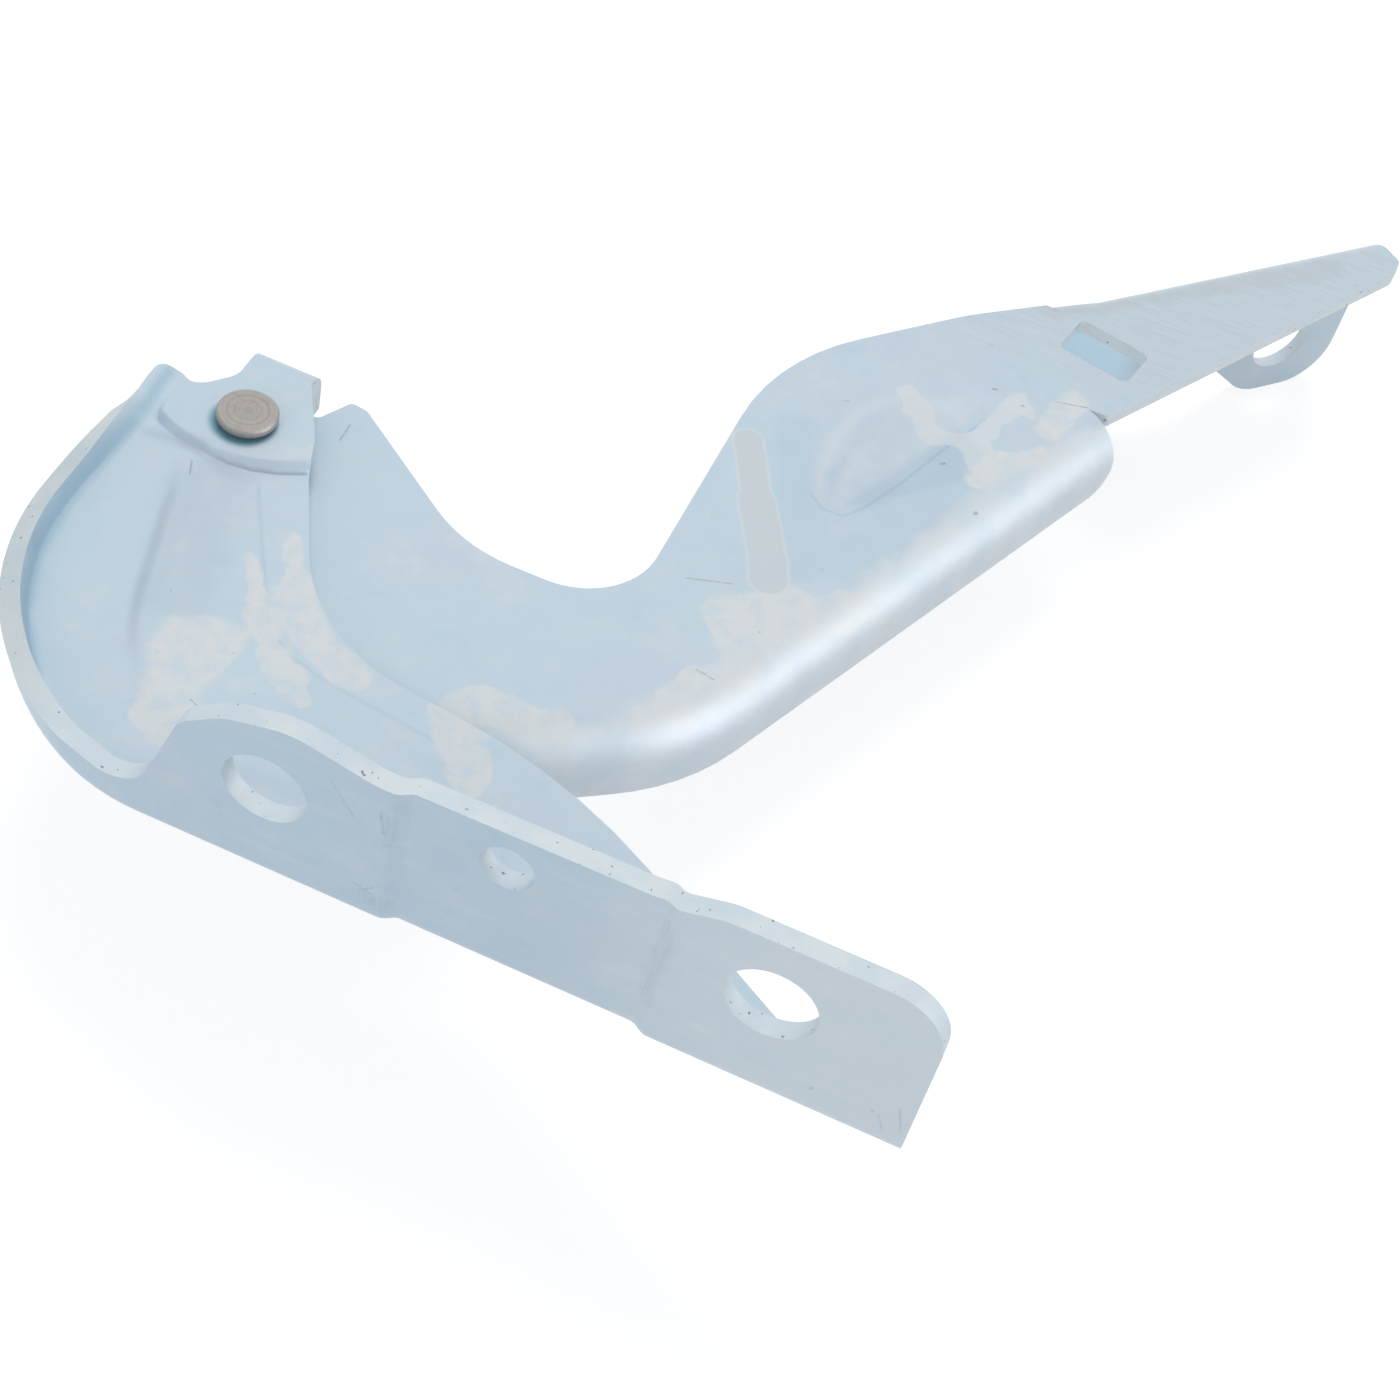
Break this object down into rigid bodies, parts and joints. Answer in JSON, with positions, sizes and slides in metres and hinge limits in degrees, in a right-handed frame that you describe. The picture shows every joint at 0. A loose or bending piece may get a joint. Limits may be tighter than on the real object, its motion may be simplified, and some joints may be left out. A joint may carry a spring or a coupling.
{
  "type": "bonnet hinge",
  "caption": "Steel bonnet hinge: a bracket for the car body and a gooseneck arm for the bonnet, both pressed from sheet and turning on a riveted pivot.",
  "frame": {"origin": "on the mounting face of the body flange, between the first bolt hole and the recess", "axes": "+X along the body flange towards its free end, +Y from the mounting face into the hinge, +Z along the rivet towards its formed head; the hinge lies on its side, open as in the picture"},
  "size_m": [0.201, 0.2651, 0.0778],
  "materials": {
    "bracket_zinc": "pale blue passivated zinc plating, satin, with dull white stains",
    "arm_zinc": "pale blue passivated zinc plating, satin, with grey streaks and white stains",
    "rivet_steel": "bare warm grey steel, marked by the forming tool",
    "bush_bronze": "plain bearing bronze",
    "washer_steel": "plain ground steel"
  },
  "bodies": {
    "bracket": {"body_bracket": "bracket_zinc", "pivot_rivet": "rivet_steel", "thrust_washer": "washer_steel"},
    "arm": {"bonnet_arm": "arm_zinc", "pivot_bush": "bush_bronze"}
  },
  "joints": [
    {"name": "bonnet_hinge", "type": "hinge", "parent": "bracket", "child": "arm", "pos_m": [-0.0595, 0.083, -0.0226], "axis": [0, 0, 1], "range_deg": [-46, 0]}
  ]
}
